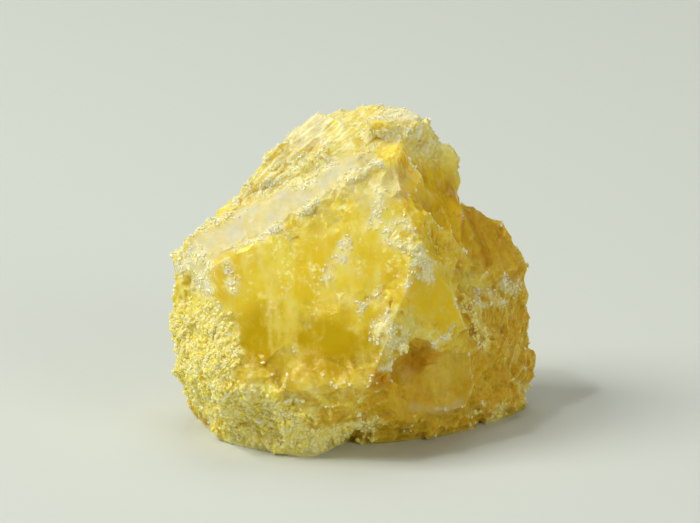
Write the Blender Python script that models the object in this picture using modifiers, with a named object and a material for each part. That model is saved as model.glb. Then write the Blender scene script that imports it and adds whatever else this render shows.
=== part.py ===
"""A broken lump of native sulfur, one solid at its real size.

The lump is a union of convex blocks, each the hull of a few named corners: a leaning body with
a long front face, a rough crown behind its bevelled top edge, a small knob, a wing on the
right and a shelf under the overhanging brow. Shallow shell-shaped chips are cut from the
joined blocks. Then the surface is carved: glassy faces stay almost flat, broken ground gets
ledges and ridges, and the crusted left end gets grainy lumps. The underside is cut flat.

Run it with: blender --background --python part.py
Blender's units are metres, +Z is up, and the origin is at the middle of the base. The tables
are in millimetres. The front of the lump looks along -Y.
"""

import math
from typing import NamedTuple

import bmesh
import bpy
from mathutils import Matrix, Vector, noise

MM = 0.001

NODE = "sulfur_lump"
BURIED = -2.0  # mm: how far the blocks reach below the flat base before it is cut
EVEN_CELL = 0.5  # mm: cell of the even mesh that the relief is carved into
TRIANGLES = 9000  # what the carved surface is thinned to
SULFUR_YELLOW = (0.78, 0.62, 0.13, 1.0)
SULFUR_ROUGHNESS = 0.4
SMOOTH_FOOT = 1.0  # mm: below this height the surface has no relief


class Chip(NamedTuple):
    """A shallow, shell-shaped hollow: the part of a ball that dips into the surface."""

    name: str
    point: tuple[float, float, float]  # mm: the middle of the hollow, on the surface
    azimuth: float  # degrees round +Z that the hollow looks in: 0 is the front, 90 is +X
    elevation: float  # degrees above the horizon
    radius: float  # mm: radius of the ball
    depth: float  # mm


class Zone(NamedTuple):
    """A stretch of the surface with its own ground, fading out from its centre."""

    name: str
    centre: tuple[float, float, float]  # mm
    radius: float  # mm


# Each block's corners, in mm. The hull of the corners is the block.
BODY = {
    "bevel_low_left": (-21.5, -10, 28),
    "bevel_low_right": (1, -6, 42),
    "face_top": (6, -5.5, 44.5),
    "ridge_knee": (11, -13.5, 32.5),
    "prow": (3, -23.5, 13.5),
    "front_low_left": (-20, -20.5, 11),
    "bevel_high_left": (-24.5, -2.5, 30.5),
    "bevel_high_mid": (-17.5, 0.5, 36),
    "bevel_high_right": (-3, -1.5, 42.5),
    "bevel_far": (10.5, 0, 46),
    "left_tip": (-28.5, -2, 21),
    "left_shoulder": (-28, 0, 25.5),
    "left_low": (-29, -4, 15.5),
    "left_lower": (-27.5, -6, 8.5),
    "brow_right": (19, -11, 18.5),
    "brow_mid": (15, -14.5, 17.5),
    "column_top": (16.5, 4, 41.5),
    "column_side": (18, 3, 29.5),
    "column_foot": (18, 2, 16),
    "top_back": (-3, 12, 41),
    "back_left": (-21.5, 11, 28.5),
    "back_right": (14.5, 13, 38),
    "back_high": (2, 19, 26),
    "back_mid_left": (-20, 15, 14),
    "back_mid_right": (16, 17, 14),
    "base_left": (-24, 2, BURIED),
    "base_front_left": (-19, -11, BURIED),
    "base_front": (-7, -18, BURIED),
    "base_back": (1, 17, BURIED),
    "base_back_left": (-17, 13, BURIED),
    "base_back_right": (15, 13, BURIED),
}

CROWN = {
    "notch": (-17.5, 0, 36.5),
    "left": (-14, 2, 42.5),
    "left_high": (-8.5, 4, 46.5),
    "high": (-4.5, 5, 48),
    "peak": (-0.5, 6, 49),
    "peak_right": (6.5, 4, 50),
    "right_high": (10, 2, 48.5),
    "low_mid": (-3, -1.5, 42.5),
    "corner_right": (10.5, -1, 47.5),
    "right_low": (16, 6, 41),
    "back_left": (-12, 12, 39),
    "back": (-1.5, 13, 45.5),
    "back_right": (11.5, 13, 42.5),
    "root_left": (-15, 15, 26),
    "root_back": (-2, 19, 28),
    "root_right": (14, 17, 30),
}

KNOB = {
    "left": (2.5, 0, 49),
    "low": (4, -2, 47),
    "front": (7.5, -2, 48.5),
    "right": (10.5, 0.5, 49),
    "back": (9, 3, 50),
    "top": (6, 3, 50.5),
    "back_left": (4, 3, 50),
    "root_left": (3.5, 4, 46),
    "root": (6.5, 2, 45.5),
    "root_right": (10, 4, 45.5),
}

WING = {
    "top": (19, 6, 33),
    "ridge": (24.5, 8, 29),
    "corner": (28.5, 8, 23.5),
    "side": (29.5, 7, 13),
    "side_low": (30, 6, 7),
    "foot": (28, 4, BURIED),
    "crack_top": (17.5, 3, 32.5),
    "crack_foot": (23, 1, 22.5),
    "cheek": (16.5, -3, 23),
    "cheek_low": (19.5, -5, 15.5),
    "heel": (20.5, -7, 4),
    "back_top": (10, 18, 30),
    "back_corner": (26, 17, 20),
    "back_foot": (24, 15, 3),
    "root": (4, 14, 4),
    "base": (22, -2, BURIED),
    "base_back": (16, 16, BURIED),
}

SHELF = {
    "left": (6, -15.5, 11.5),
    "mid": (12.5, -12.5, 15),
    "right": (20, -7, 16.5),
    "rim_right": (18.5, -10.5, 5),
    "rim": (13.5, -13.5, 5.5),
    "rim_left": (7.5, -15, 6.5),
    "low_left": (2, -16, 4),
    "base_left": (1, -12, BURIED),
    "base_mid": (12, -9, BURIED),
    "base_right": (20, -4, BURIED),
    "root_left": (0, 0, 10),
    "root_right": (18, 2, 10),
}

BLOCKS = {"body": BODY, "crown": CROWN, "knob": KNOB, "wing": WING, "shelf": SHELF}

CHIPS = (
    Chip("right_scoop", (13.5, -3.5, 37.5), 66, 22, 11, 1.5),
    Chip("corner_notch", (9.5, -6.5, 42), 40, 45, 3.5, 1.0),
    Chip("face_hollow_left", (-12, -15, 25), -12, 31, 26, 1.0),
    Chip("face_hollow_low", (1, -21, 18), -8, 31, 14, 0.9),
    Chip("cheek_recess", (18.5, -7, 23), 62, 15, 9, 1.8),
    Chip("wing_scoop", (25, 4, 27), 55, 35, 10, 1.3),
    Chip("shelf_gap", (9, -15, 14), 30, -5, 5, 1.2),
    Chip("wing_low", (25, -1, 10), 50, -5, 12, 1.5),
    Chip("left_bite", (-25, -9, 24), -60, 25, 9, 1.2),
    Chip("foot_bite", (-14, -19, 5), -25, -15, 9, 2.0),
    Chip("back_scoop_high", (6, 18, 34), 170, 25, 18, 2.2),
    Chip("back_scoop_low", (-8, 18, 14), -170, 0, 20, 2.0),
    Chip("back_scoop_left", (-20, 13, 22), -130, 20, 14, 1.8),
    Chip("back_scoop_right", (20, 18, 14), 150, 5, 12, 1.6),
)

GLASSY = (
    Zone("long_bevel_left", (-20, -5, 31), 9),
    Zone("long_bevel_mid", (-12, -4, 36), 9),
    Zone("long_bevel_right", (-3, -3, 41), 8),
    Zone("front_face_left", (-16, -14, 22), 13),
    Zone("front_face_mid", (-6, -14, 28), 14),
    Zone("front_face_right", (3, -13, 32), 14),
    Zone("front_face_low", (-2, -21, 17), 11),
    Zone("lower_facet", (13, -13, 24), 10),
    Zone("right_face", (13, -3, 38), 9),
    Zone("right_column", (16, 0, 28), 7),
    Zone("wing_face", (24, 4, 28), 7),
    Zone("shelf_lobe", (14, -12, 9), 10),
    Zone("back_slab_high", (8, 18, 32), 9),
    Zone("back_slab_low", (-12, 16, 16), 10),
    Zone("back_slab_right", (22, 17, 12), 9),
)

CRUSTED = (
    Zone("left_end", (-28, -5, 16), 13),
    Zone("left_foot", (-21, -15, 5), 13),
    Zone("brow_foot", (4, -23, 11), 6),
    Zone("wing_cheek", (24, 0, 19), 6),
    Zone("wing_rim", (30, 5, 12), 9),
    Zone("crown_left", (-13, 4, 42), 7),
)

WANDER_SHIFTS = ((0.0, 0.0, 0.0), (31.4, 7.2, 11.8), (5.6, 43.1, 27.9))
STREAK = Vector((0.75, 0.25, 0.61)).normalized()  # the way the crown's ridges run


def direction(azimuth: float, elevation: float) -> Vector:
    """The unit vector that this azimuth and elevation look along."""
    turn = math.radians(azimuth)
    rise = math.radians(elevation)
    return Vector(
        (math.sin(turn) * math.cos(rise), -math.cos(turn) * math.cos(rise), math.sin(rise))
    )


def weight(point: Vector, zones: tuple[Zone, ...]) -> float:
    """How far a point in mm belongs to any of the zones, from 0 to 1, with soft borders."""
    most = 0.0
    for zone in zones:
        reach = 1.0 - (point - Vector(zone.centre)).length / zone.radius
        reach = min(1.0, max(0.0, 2.0 * reach))
        most = max(most, reach * reach * (3.0 - 2.0 * reach))
    return most


def clear_scene() -> None:
    """Remove whatever the scene holds."""
    for obj in list(bpy.data.objects):
        bpy.data.objects.remove(obj, do_unlink=True)


def add_object(name: str, bm: bmesh.types.BMesh, collection: bpy.types.Collection):
    """Turn a bmesh into an object in the collection, and free it."""
    mesh = bpy.data.meshes.new(name)
    bm.to_mesh(mesh)
    bm.free()
    obj = bpy.data.objects.new(name, mesh)
    collection.objects.link(obj)
    return obj


def hull_block(name: str, corners: dict, collection: bpy.types.Collection):
    """Make a block as the hull of its corners."""
    bm = bmesh.new()
    for corner in corners.values():
        bm.verts.new(Vector(corner) * MM)
    bmesh.ops.convex_hull(bm, input=bm.verts[:])
    inside = [vert for vert in bm.verts if not vert.link_faces]
    bmesh.ops.delete(bm, geom=inside, context="VERTS")
    bmesh.ops.recalc_face_normals(bm, faces=bm.faces[:])
    return add_object(name, bm, collection)


def chip_ball(chip: Chip, collection: bpy.types.Collection):
    """Make the ball whose cap is the chip's hollow."""
    lift = direction(chip.azimuth, chip.elevation) * (chip.radius - chip.depth)
    centre = (Vector(chip.point) + lift) * MM
    bm = bmesh.new()
    bmesh.ops.create_icosphere(
        bm, subdivisions=4, radius=chip.radius * MM, matrix=Matrix.Translation(centre)
    )
    return add_object(chip.name, bm, collection)


def boolean(obj, other, operation: str) -> None:
    """Join the other object to obj, or cut it away, and keep it as a hidden helper."""
    other.hide_render = True
    other.display_type = "WIRE"
    modifier = obj.modifiers.new(other.name, "BOOLEAN")
    modifier.operation = operation
    modifier.object = other


def even_out(obj, cell: float) -> None:
    """Add a modifier that remakes the surface as an even mesh of this cell, in mm."""
    modifier = obj.modifiers.new("even", "REMESH")
    modifier.mode = "VOXEL"
    modifier.voxel_size = cell * MM


def settle(obj) -> None:
    """Replace the object's mesh with what its modifiers make of it."""
    bpy.context.view_layer.update()
    evaluated = obj.evaluated_get(bpy.context.evaluated_depsgraph_get())
    mesh = bpy.data.meshes.new_from_object(evaluated)
    obj.modifiers.clear()
    obj.data = mesh


def thin_out(obj, triangles: int) -> None:
    """Collapse the object's edges until about this many triangles are left."""
    obj.data.calc_loop_triangles()
    modifier = obj.modifiers.new("thin", "DECIMATE")
    modifier.ratio = triangles / len(obj.data.loop_triangles)
    settle(obj)


def wander(point: Vector) -> Vector:
    """A smooth vector noise, one scalar noise for each axis."""
    return Vector(noise.noise(point + Vector(shift)) for shift in WANDER_SHIFTS)


def facets(point: Vector, size: float, tilt: float) -> float:
    """Small broken faces, each leaning its own way, with a step where two meet, in mm."""
    bent = point + wander(point / (1.6 * size)) * (0.45 * size)
    middle = noise.voronoi(bent / size)[1][0]
    lean = noise.cell_vector(middle * 7.3) * tilt
    return lean.dot(bent - middle * size)


def ledges(point: Vector) -> float:
    """Steps where the lump broke along its layers, in patches, in mm."""
    bend = 3.0 * noise.noise(point / 11.0)
    layer = (point.z * 0.8 - point.y * 0.45 - point.x * 0.25 + bend) / 4.2
    step = layer - math.floor(layer)
    patch = min(1.0, max(0.0, 0.4 + 2.5 * noise.noise(point / 12.0 + Vector((5, 3, 8)))))
    return 0.8 * patch * (step * step * step - 0.3)


def ridges(point: Vector) -> float:
    """Sharp ridges that run along the streak direction, in mm."""
    along = STREAK * point.dot(STREAK)
    stretched = (point - along) / 2.6 + along / 14.0
    return 1.0 * (0.35 - abs(noise.noise(stretched)))


def grain(point: Vector) -> float:
    """Rounded grains packed side by side, in mm."""
    nearest = noise.voronoi(point / 2.6)[0]
    return 1.4 * (0.32 - nearest[0])


def relief(point: Vector) -> float:
    """How far the surface stands out from the plain blocks at a point, in mm."""
    glassy = weight(point, GLASSY)
    crusted = weight(point, CRUSTED) * (1.0 - 0.8 * glassy)
    broken = (1.0 - glassy) * (1.0 - crusted)
    crown = min(1.0, max(0.0, (point.z - 38.0) / 5.0)) * broken
    swell = 0.6 * noise.noise(point / 12.0) * (1.0 - 0.5 * glassy)
    chatter = 0.3 * noise.fractal(point / 4.0, 1.0, 2.1, 3) * (0.1 + 0.9 * broken)
    coarse = facets(point, 9.5, 0.16) * (0.1 + 0.9 * broken)
    fine = facets(point, 4.2, 0.14) * broken
    steps = broken * (1.0 - crown) * ledges(point) + crown * ridges(point)
    rough = swell + chatter + coarse + fine + steps + crusted * grain(point)
    return rough * min(1.0, max(0.0, (point.z - SMOOTH_FOOT) / SMOOTH_FOOT))


def outward(mesh: bpy.types.Mesh) -> list[Vector]:
    """Each vertex's normal, summed face by face so that it's the same on every run."""
    normals = [Vector() for _ in mesh.vertices]
    for face in mesh.polygons:
        push = face.normal * face.area
        for index in face.vertices:
            normals[index] += push
    return [normal.normalized() for normal in normals]


def carve(obj) -> None:
    """Move each vertex along its normal by the relief at its place."""
    for vert, normal in zip(obj.data.vertices, outward(obj.data)):
        vert.co += normal * relief(vert.co / MM) * MM


def cut_base(obj) -> None:
    """Cut the object flat at the ground and close it with one face."""
    bm = bmesh.new()
    bm.from_mesh(obj.data)
    everything = bm.verts[:] + bm.edges[:] + bm.faces[:]
    bmesh.ops.bisect_plane(
        bm, geom=everything, plane_co=(0, 0, 0), plane_no=(0, 0, -1), clear_outer=True
    )
    rim = [edge for edge in bm.edges if edge.is_boundary]
    bmesh.ops.edgeloop_fill(bm, edges=rim)
    bmesh.ops.recalc_face_normals(bm, faces=bm.faces[:])
    bm.to_mesh(obj.data)
    bm.free()


def centre_on_base(obj) -> None:
    """Put the origin at the middle of the base."""
    xs, ys, zs = zip(*(vert.co for vert in obj.data.vertices))
    middle = Vector(((min(xs) + max(xs)) / 2, (min(ys) + max(ys)) / 2, min(zs)))
    obj.data.transform(Matrix.Translation(-middle))


def sulfur_material():
    """Yellow sulfur with a greasy lustre."""
    material = bpy.data.materials.new("sulfur")
    material.use_nodes = True
    shader = material.node_tree.nodes["Principled BSDF"]
    shader.inputs["Base Color"].default_value = SULFUR_YELLOW
    shader.inputs["Roughness"].default_value = SULFUR_ROUGHNESS
    shader.inputs["Metallic"].default_value = 0.0
    return material


def main() -> None:
    """Build the lump."""
    clear_scene()
    lump_collection = bpy.data.collections.new("native_sulfur")
    helpers = bpy.data.collections.new("helpers")
    for collection in (lump_collection, helpers):
        bpy.context.scene.collection.children.link(collection)

    lump = hull_block(NODE, BODY, lump_collection)
    for name, corners in BLOCKS.items():
        if corners is not BODY:
            boolean(lump, hull_block(name, corners, helpers), "UNION")
    for chip in CHIPS:
        boolean(lump, chip_ball(chip, helpers), "DIFFERENCE")
    even_out(lump, EVEN_CELL)
    settle(lump)
    carve(lump)
    even_out(lump, EVEN_CELL)
    settle(lump)
    thin_out(lump, TRIANGLES)
    cut_base(lump)

    centre_on_base(lump)
    lump.data.materials.clear()
    lump.data.materials.append(sulfur_material())


main()
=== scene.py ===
"""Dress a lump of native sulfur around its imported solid.

The solid gives the form. Its skin is remade as a fine mesh and sculpted: grainy crust, crested
crown, ribbed wing, fluted column, frosted edges and glassy faces. Loose grains and frost crystals
are scattered on it with Geometry Nodes. The finishes are translucent, as sulfur lets light in.

Blender's units are metres. The tables of places are in millimetres, in the solid's own frame:
+Z up from its flat base, +X to the right, and the long face looks along -Y.
"""

import logging
import math
from collections.abc import Callable
from dataclasses import dataclass, field
from enum import Enum

import bmesh
import bpy
import numpy as np
from mathutils import Matrix, Vector, noise

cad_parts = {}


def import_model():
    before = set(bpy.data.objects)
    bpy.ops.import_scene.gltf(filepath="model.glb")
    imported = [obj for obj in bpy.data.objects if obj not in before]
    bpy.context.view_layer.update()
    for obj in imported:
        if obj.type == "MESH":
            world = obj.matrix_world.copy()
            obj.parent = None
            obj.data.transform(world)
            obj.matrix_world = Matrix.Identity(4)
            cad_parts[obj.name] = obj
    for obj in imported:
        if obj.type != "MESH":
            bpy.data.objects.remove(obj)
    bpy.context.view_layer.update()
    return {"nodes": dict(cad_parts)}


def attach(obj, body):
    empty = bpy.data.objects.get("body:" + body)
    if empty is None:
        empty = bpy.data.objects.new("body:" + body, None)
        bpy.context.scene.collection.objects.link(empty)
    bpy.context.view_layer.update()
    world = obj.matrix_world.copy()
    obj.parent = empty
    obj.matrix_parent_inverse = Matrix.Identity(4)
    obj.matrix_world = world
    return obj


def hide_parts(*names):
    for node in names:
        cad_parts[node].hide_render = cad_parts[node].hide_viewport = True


LOG = logging.getLogger("sulfur")
MM = 0.001
Point = tuple[float, float, float]
Colour = tuple[float, float, float]
Span = tuple[float, float]  # where a change begins and where it is complete
Socket = bpy.types.NodeSocket
Source = Socket | float | Colour | Vector  # what may feed a node's input

BODY = "root"
NODE = "sulfur_lump"


# ---------------------------------------------------------------- places on the lump


class Ground(Enum):
    """The kinds of surface that the lump shows, some of them painted light or shade. Each is also the name
    of a mesh attribute.
    """

    CRUST = "crust"  # packed grains
    GLASS = "glass"  # smooth broken faces
    CROWN = "crown"  # crests that run up to the right
    WRINKLE = "wrinkle"  # fine ribs
    FROST = "frost"  # pale crystals along edges and in patches
    AMBER = "amber"  # deep yellow, partly the sulfur's own tone and partly painted shade on undersides, low parts and shaded places
    CREAM = "cream"  # satin strips, pale partly from frost and partly as painted sheen where they face the light
    DUSKY = "dusky"  # painted shade: darker amber on faces that the light reaches least
    GLOW = "glow"  # painted light: clear faces painted brighter and warmer where light shines through
    FLUTED = "fluted"  # upright flutes
    GAP = "gap"  # painted shade: dark orange in cracks and under the brow


@dataclass(frozen=True)
class Band:
    """A soft-edged stretch of ground along a line, or round a point where it has only one."""

    line: tuple[Point, ...]  # mm
    reach: float  # mm: how far from the line the band goes
    strength: float = 1.0
    fade: float = 0.6  # the share of the reach over which it fades out

    def cover(self, points: np.ndarray) -> np.ndarray:
        """Say how strongly the band covers each point.

        Args:
            points: the places, in mm, one row each.

        Returns:
            A weight from 0 to the band's strength for each point.
        """
        starts = self.line if len(self.line) == 1 else self.line[:-1]
        ends = self.line if len(self.line) == 1 else self.line[1:]
        nearest = np.full(len(points), np.inf)
        for start, end in zip(starts, ends):
            a = np.array(start, float)
            run = np.array(end, float) - a
            length2 = max(float(run @ run), 1e-9)
            along = np.clip((points - a) @ run / length2, 0.0, 1.0)
            gap = points - a - along[:, None] * run
            nearest = np.minimum(nearest, np.sqrt((gap**2).sum(1)))
        return self.strength * smooth_step(1.0 - nearest / self.reach, 0.0, self.fade)


PLACES: dict[Ground, tuple[Band, ...]] = {
    Ground.CRUST: (
        Band(((-29, -4, 16), (-28, -5, 12), (-25, -8, 6)), 9),
        Band(((-22, -11, 19), (-20, -16, 11), (-10, -17, 5)), 6.5),
        Band(((-18, -14, 2), (2, -16, 2)), 6, 0.9),
        Band(((-26, 6, 8), (-24, 8, 18)), 8, 0.8),
        Band(((18, -4, 20), (19, -3, 15)), 3.5, 0.7),
        Band(((0, 17, 4), (14, 17, 4)), 6, 0.7),
        Band(((26, 4, 3), (20, -4, 2)), 4, 0.4),
    ),
    Ground.GLASS: (
        Band(((-24, -4, 28), (-16.5, -3.5, 34), (-9, -4, 37.5), (-2, -3, 41.5)), 4.2),
        Band(((-18, -11, 26), (-8, -12, 28), (1, -11, 31), (5, -8, 37)), 8.5),
        Band(((-14, -15, 20), (-4, -16, 20), (3, -17, 20)), 6.5),
        Band(((-11, -16.5, 15), (1, -19, 13.5)), 4.5, 0.6),
        Band(((10, -13, 27), (14, -12, 23)), 6),
        Band(((9, -3, 41), (14, 0, 37), (15, 1, 30)), 6.5),
        Band(((19, 4.5, 30), (24, 6, 26)), 5, 0.55),
        Band(((4, 1.8, 49.6), (8.6, 1.8, 49.4)), 3.8),
        Band(((-6, 4.5, 46.5), (-2, 3.5, 46.5)), 3, 0.8),
        Band(((8, -13, 9.5), (16, -10, 9)), 5.5, 0.7),
        Band(((8, 19, 32), (2, 19, 24)), 8, 0.9),
        Band(((-14, 16, 14), (-6, 18, 16)), 7, 0.9),
        Band(((22, 18, 12),), 8, 0.9),
    ),
    Ground.CROWN: (
        Band(((-15, 4, 40), (-8, 5, 45), (0, 6, 47), (9, 5, 46)), 8.5),
        Band(((-10, 13, 40), (8, 13, 42)), 7, 0.9),
    ),
    Ground.WRINKLE: (
        Band(((21, 0, 18), (25, 5, 20)), 6),
        Band(((25, 4, 11), (28, 6, 8)), 7),
        Band(((22, 12, 24), (28, 10, 16)), 6, 0.7),
    ),
    Ground.FROST: (
        Band(
            ((-18, -8, 30.3), (-14, -7.5, 32.5), (-8, -6.5, 36), (-1.5, -5, 40.5), (4, -4, 43.5)),
            1.15,
            1.2,
        ),
        Band(((-25, -0.5, 30.5), (-18, 1.2, 36), (-9.5, -0.8, 39.4), (-3, -0.4, 42.6)), 1.5, 1.2),
        Band(((-21.5, -9.5, 26), (-25.5, -4.5, 27), (-27.5, -1, 27.5)), 4.4, 1),
        Band(((-0.5, -10, 33), (-4.6, -13, 26.7)), 1.5, 0.9),
        Band(((3.2, -14, 27), (1.4, -15.7, 23.6)), 1.2, 0.8),
        Band(((4, -6.5, 40), (3.2, -9.5, 35.4)), 1.8, 0.8),
        Band(((6.7, -10.6, 34.4), (9.6, -12.8, 31.2), (11, -13, 28.5)), 2.9, 1.2),
        Band(((4.6, -18.2, 21.5), (6, -18, 19)), 3.4, 0.7),
        Band(((18, -10, 18.8), (14.5, -13, 17.3), (9, -17, 16.4), (4, -21, 15.6)), 1.1, 1.1),
        Band(((9.8, -0.8, 47.4), (3.4, -0.6, 46.6), (0.8, -0.6, 44.6)), 1.7, 1.2),
        Band(((20, 0.5, 20), (26, 5.5, 20.5)), 2.2, 0.5),
        Band(((4.2, 2.2, 49.4), (8.4, 2, 49.2)), 3, 0.62),
        Band(((-16.5, 1.5, 38.5), (-12.5, 2.6, 43.5)), 1.2, 1),
        Band(((-13.2, 1.2, 39.2), (-9.4, 2.8, 43.8)), 1.1, 1),
        Band(((-10, 1.2, 40.6), (-7.5, 1.8, 43)), 1, 0.8),
        Band(((-5.6, 1.2, 43.4), (-4.6, 2.6, 45.8)), 1.3, 0.9),
    ),
    Ground.AMBER: (
        Band(((12, -2, 40), (15, 1, 34), (16, -2, 25)), 6, 0.35),
        Band(((4, -18, 9), (10, -13, 8)), 4.5, 0.9),
        Band(((20, 5, 31), (26, 7, 24)), 8, 0.95),
        Band(((25, 3, 17), (27, 5, 6), (22, -2, 8)), 9, 1.2),
        Band(((-13, -17, 15), (3, -20, 15)), 4, 0.2),
        Band(((5, -14, 13), (15, -10, 10), (20, -5, 8)), 7, 0.45),
        Band(((18, -4, 21), (18.5, -3, 12)), 4.5, 1.1),
        Band(((3, -19, 14), (8, -13, 14)), 2.8, 1.2),
        Band(((0, -15, 2), (12, -12, 2), (20, -6, 2)), 6, 0.8),
        Band(((6, 18, 22),), 12, 0.4),
    ),
    Ground.DUSKY: (
        Band(((-14, -16, 18.5), (-4, -18, 18), (3, -19, 18)), 7),
        Band(((18.5, 5, 31), (24, 8, 28)), 5, 0.8),
        Band(((10, -13, 13), (16, -9, 9)), 7, 0.9),
        Band(((-20, 12, 20), (4, 18, 26)), 8, 0.5),
    ),
    Ground.GLOW: (
        Band(((11, -3, 40.5), (13.5, -1, 37), (15, 0, 30)), 6.5, 0.9),
        Band(((11.5, -8.5, 34), (15, -7, 25)), 4, 0.7),
        Band(((10.5, -13, 26), (14, -12, 21)), 5.2),
        Band(((14, 17, 26), (10, 18, 14)), 7, 0.6),
    ),
    Ground.GAP: (
        Band(((3.5, -20.8, 13.6), (6.1, -15.3, 12.8), (9.4, -12, 13.6), (12, -12.5, 15)), 2.4, 1.1),
        Band(((7.2, -5.2, 42.5), (8.2, -7.5, 38.2), (9.8, -10.8, 34)), 0.8, 0.5),
        Band(((16, 2, 38), (16.6, 1.5, 31), (17.6, -1.5, 24)), 1.5, 0.9),
        Band(((17.8, -4, 20.5), (18.6, -3.3, 14)), 2, 0.9),
        Band(((17.6, 6, 33.5), (19.2, 4.6, 29), (21, 3.2, 25.2)), 1.2, 1.1),
    ),
    Ground.FLUTED: (
        Band(((9, -4, 42), (13, -1, 37), (15, 0, 31)), 6.5),
        Band(((11.5, -5, 37), (13, -5, 31)), 4.5),
    ),
    Ground.CREAM: (
        Band(((-24, -4.5, 28.5), (-16, -3.5, 34), (-9, -3.8, 37.5), (-1, -2.6, 41.8)), 5.2),
        Band(((4.2, 2.2, 49.4), (8.4, 2, 49.2)), 3.4, 1.1),
        Band(((-8, 4, 46), (-5.5, 5, 47.4)), 3, 0.8),
        Band(((9.5, -12.6, 7.2), (14, -11, 5.6), (18.2, -7.6, 7.6)), 1.3, 0.35),
        Band(((2, -7, 40), (6, -6, 40.5)), 4, 0.5),
    ),
}


@dataclass(frozen=True)
class Cleft:
    """A flat broken face. The skin near it is pressed onto its plane."""

    corners: tuple[Point, ...]  # mm: its outline, in order
    depth: float = 1.0  # mm: how far from the plane the skin may be
    border: Span = (-0.6, 0.3)  # mm inside the outline
    facing: Span = (0.3, 0.7)  # how well the skin looks the way the plane does, as a cosine
    fade: float = 0.4  # the share of the depth over which the press fades out

    def press(self, points: np.ndarray, normals: np.ndarray) -> np.ndarray:
        """Say how far each point moves to reach the plane.

        Args:
            points: the places, in mm, one row each.
            normals: the skin's normals at them.

        Returns:
            The moves, in mm, one row each.
        """
        outline = np.array(self.corners, float)
        middle = outline.mean(0)
        across = np.linalg.svd(outline - middle)[2][2]
        facing = normals @ across
        if facing[((points - middle) ** 2).sum(1).argmin()] < 0:
            across, facing = -across, -facing
        above = (points - middle) @ across
        inside = np.full(len(points), np.inf)
        for a, b in zip(outline, np.roll(outline, -1, 0)):
            inward = np.cross(across, b - a)
            inward /= np.linalg.norm(inward)
            inward *= np.sign(inward @ (middle - a))
            inside = np.minimum(inside, (points - a) @ inward)
        cover = smooth_step(inside, *self.border) * smooth_step(facing, *self.facing)
        cover *= smooth_step(self.depth - np.abs(above), 0.0, self.fade * self.depth)
        return -(above * cover)[:, None] * across


BEVEL = Cleft(
    ((-22.1, -8.6, 28), (-25.1, -1.1, 30.5), (-18.1, 1.9, 36), (-3.6, -0.1, 42.5), (5.4, -4.1, 44.5)), 1.6
)
LOWER_FACET = Cleft(((18.4, -9.6, 18.5), (10.4, -12.1, 32.5), (2.4, -22.1, 13.5)))
WING_FACE = Cleft(((23.9, 9.4, 29), (16.9, 4.4, 32.5), (22.4, 2.4, 22.5), (27.9, 9.4, 23.5)))
SHELF = Cleft(
    ((18.3, -7.2, 12.5), (16.3, -8, 15.4), (13.8, -9.6, 15.4), (12.3, -11.2, 12.5))
    + ((12.7, -11.8, 8.5), (14.7, -11, 5.6), (17.2, -9.3, 5.6), (18.7, -7.7, 8.5)),
    0.8,
)
KNOB_TOP = Cleft(((5.4, 4.4, 50.5), (1.9, 1.4, 49), (6.9, -0.6, 48.5), (9.9, 1.9, 49), (8.4, 4.4, 50)), 1.4)

STREAK = Vector((0.75, 0.25, 0.61)).normalized()  # the way the crown's crests run
RIB = Vector((0.25, 0.35, 0.9)).normalized()  # the way the wing's ribs run
FLUTE = Vector((0.08, -0.1, 0.99)).normalized()  # the way the right column's flutes run
DIP = Vector((-0.34, 0.88, 0.34)).normalized()  # straight up the bevelled strip
VEIL = Vector((0.12, -0.45, -0.88)).normalized()  # the way the long face's pale veils run


# ---------------------------------------------------------------- fields over the surface

HALF = Vector((0.5, 0.5, 0.5))
AXIS_SHIFTS = (Vector((0.0, 0.0, 0.0)), Vector((31.4, 7.2, 11.8)), Vector((5.6, 43.1, 27.9)))
FRAYING = ((5.0, 1.5), (1.7, 0.5))  # mm: size and reach of the two wanders that fray a border
FAINT = 0.003  # a weight below this doesn't show
CELL_STEP = 7.3  # spreads the cells' middles out, so that each one leans at random
BOW_LEVEL = 0.2  # the middle height of a hollow face, as a share of its bow
GRAIN_RISE = 1.6  # how steeply a grain's sides rise


def smooth_step(value: np.ndarray, low: float, high: float) -> np.ndarray:
    """Ease from 0 at low to 1 at high."""
    t = np.clip((value - low) / (high - low), 0.0, 1.0)
    return t * t * (3.0 - 2.0 * t)


def stretch(along: Vector, length: float, width: float) -> Matrix:
    """Make a matrix that maps mm to noise cells that are long in one direction.

    Args:
        along: the unit direction of the long side.
        length: the cells' length, in mm.
        width: the cells' width, in mm.

    Returns:
        The matrix to multiply each place by.
    """
    outer = Matrix([[a * b for b in along] for a in along])
    return outer * (1.0 / length - 1.0 / width) + Matrix.Identity(3) * (1.0 / width)


def wander(point: Vector) -> Vector:
    """Give a smooth vector noise, one scalar noise for each axis."""
    return Vector(noise.noise(point + shift) for shift in AXIS_SHIFTS)


def shells(point: Vector, size: float, lean: float, bow: float) -> float:
    """Give shell-shaped broken faces that meet in sharp, unbroken ridges.

    Args:
        point: the place, in mm.
        size: the faces' size, in mm.
        lean: how much they lean, as a slope.
        bow: how hollow they are.

    Returns:
        The height, in mm.
    """
    place = point / size
    lowest = math.inf
    for middle in noise.voronoi(place)[1]:
        away = place - middle
        slope = (noise.cell_vector(middle * CELL_STEP) - HALF).dot(away) * 2.0 * lean
        lowest = min(lowest, slope + bow * away.length_squared)
    return size * (lowest - BOW_LEVEL * bow)


def dome(point: Vector, size: float) -> float:
    """Give rounded grains packed side by side, from 0 between them to 1 on top."""
    near, second = noise.voronoi(point / size)[0][:2]
    return min(1.0, GRAIN_RISE * (second - near))


def ridge(point: Vector, cells: Matrix) -> float:
    """Give sharp crests along the long side of stretched noise cells, from -1 to 1."""
    return 1.0 - 4.0 * abs(noise.noise(cells @ point))


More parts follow.
